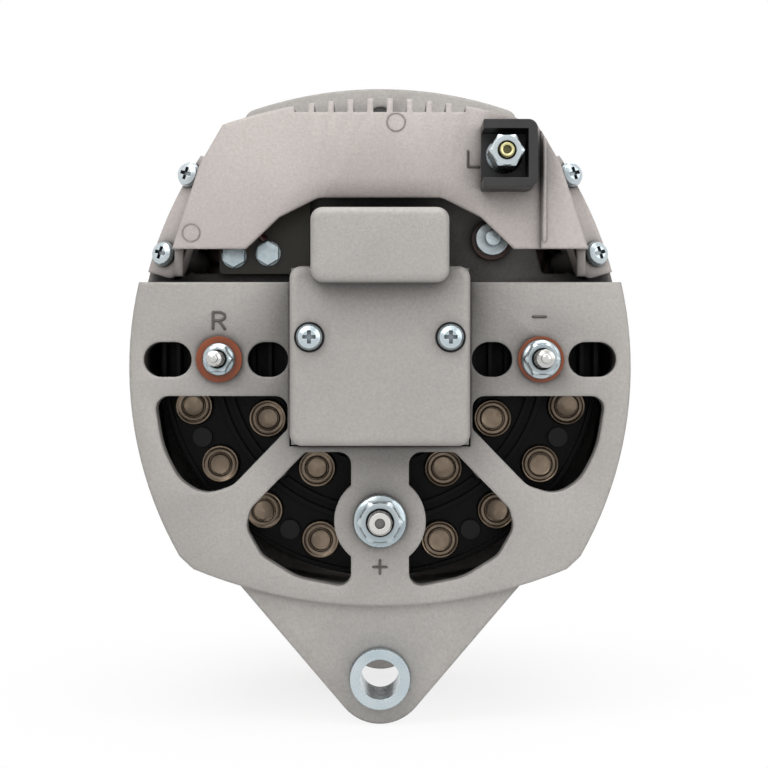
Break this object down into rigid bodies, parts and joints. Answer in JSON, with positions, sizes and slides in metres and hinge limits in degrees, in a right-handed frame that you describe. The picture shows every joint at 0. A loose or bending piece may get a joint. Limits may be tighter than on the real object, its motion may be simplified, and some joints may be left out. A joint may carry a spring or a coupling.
{
  "type": "engine alternator",
  "caption": "Hinge-mounted engine alternator with claw-pole rotor, rectifier in vented rear housing, terminal studs, hood over the regulator, front fan and ribbed belt pulley.",
  "frame": {"origin": "centre of the front hinge lug's bore, on the hinge axis", "axes": "+Z from the hinge axis up through the shaft axis, +Y along the shaft towards the pulley, +X to the right seen from the rear"},
  "size_m": [0.163, 0.247, 0.2236],
  "materials": {
    "cast_aluminium": "shot blasted, satin",
    "hood_aluminium": "shot blasted, satin",
    "zinc_steel": "zinc plated",
    "nickel_copper": "nickel plated",
    "yellow_zinc": "yellow passivated",
    "phenolic": "moulded, satin",
    "black_plastic": "moulded, matte",
    "black_sink": "black, matte",
    "diode_cup": "tarnished",
    "black_steel": "black oxide",
    "olive_board": "lacquered board",
    "red_lead": "insulated",
    "lamination": "varnished laminations",
    "copper_winding": "enamelled copper, varnished",
    "pole_steel": "forged, varnished",
    "carbon": "carbon",
    "spring_steel": "drawn wire",
    "slip_copper": "turned",
    "bearing_steel": "ground",
    "cage_brass": "pressed",
    "turned_steel": "turned",
    "pulley_black": "painted, satin"
  },
  "bodies": {
    "housing": {"rear_housing": "cast_aluminium", "drive_housing": "cast_aluminium", "through_bolts": "zinc_steel", "stator_core": "lamination", "stator_windings": "copper_winding", "rear_cover": "cast_aluminium", "cover_screws": "zinc_steel", "hood": "hood_aluminium", "hood_screws": "zinc_steel", "heat_sink_positive": "black_sink", "heat_sink_negative": "black_sink", "diodes_positive": "diode_cup", "diodes_negative": "diode_cup", "sink_screws": "black_steel", "sink_insulators": "phenolic", "plus_stud": "nickel_copper", "plus_nut": "zinc_steel", "plus_insulator": "phenolic", "relay_stud": "nickel_copper", "relay_nut": "zinc_steel", "minus_stud": "nickel_copper", "minus_nut": "zinc_steel", "stud_insulators": "phenolic", "lamp_block": "black_plastic", "lamp_stud": "yellow_zinc", "lamp_nut": "zinc_steel", "regulator": "black_plastic", "carrier_plate": "olive_board", "carrier_nuts": "zinc_steel", "field_lead": "red_lead", "field_stud": "zinc_steel", "field_insulator": "phenolic", "brush_holder": "black_plastic", "brush_spring_outer": "spring_steel", "brush_spring_inner": "spring_steel", "front_bearing_outer": "bearing_steel", "rear_bearing_outer": "bearing_steel", "bearing_retainer": "turned_steel", "retainer_screws": "zinc_steel"},
    "rotor": {"rotor_shaft": "turned_steel", "claw_pole_front": "pole_steel", "claw_pole_rear": "pole_steel", "field_winding": "copper_winding", "slip_ring_hub": "black_plastic", "slip_rings": "slip_copper", "front_bearing_inner": "bearing_steel", "rear_bearing_inner": "bearing_steel", "fan_spacer": "turned_steel", "fan": "zinc_steel", "pulley": "pulley_black", "pulley_key": "turned_steel", "pulley_washer": "zinc_steel", "pulley_nut": "zinc_steel"},
    "front_balls": {"front_bearing_balls": "bearing_steel", "front_bearing_cage": "cage_brass"},
    "rear_balls": {"rear_bearing_balls": "bearing_steel", "rear_bearing_cage": "cage_brass"},
    "brush_a": {"brush_outer": "carbon"},
    "brush_b": {"brush_inner": "carbon"},
    "bushing": {"hinge_bushing": "zinc_steel"}
  },
  "joints": [
    {"name": "rotor_spin", "type": "hinge", "parent": "housing", "child": "rotor", "pos_m": [0, 0, 0.105], "axis": [0, 1, 0], "continuous": true},
    {"name": "front_cage_spin", "type": "hinge", "parent": "housing", "child": "front_balls", "pos_m": [0, 0, 0.105], "axis": [0, 1, 0], "continuous": true},
    {"name": "rear_cage_spin", "type": "hinge", "parent": "housing", "child": "rear_balls", "pos_m": [0, 0, 0.105], "axis": [0, 1, 0], "continuous": true},
    {"name": "brush_outer_slide", "type": "slide", "parent": "housing", "child": "brush_a", "axis": [0, 0, 1], "range_m": [0, 0.006], "stiffness_N_per_m": 150, "springref_m": -0.02, "deforming": ["brush_spring_outer"]},
    {"name": "brush_inner_slide", "type": "slide", "parent": "housing", "child": "brush_b", "axis": [0, 0, 1], "range_m": [0, 0.006], "stiffness_N_per_m": 150, "springref_m": -0.02, "deforming": ["brush_spring_inner"]},
    {"name": "bushing_slide", "type": "slide", "parent": "housing", "child": "bushing", "axis": [0, 1, 0], "range_m": [-0.003, 0.003]}
  ],
  "couplings": [
    {"joint": "front_cage_spin", "follows": "rotor_spin", "ratio": 0.3805},
    {"joint": "rear_cage_spin", "follows": "rotor_spin", "ratio": 0.3842}
  ]
}
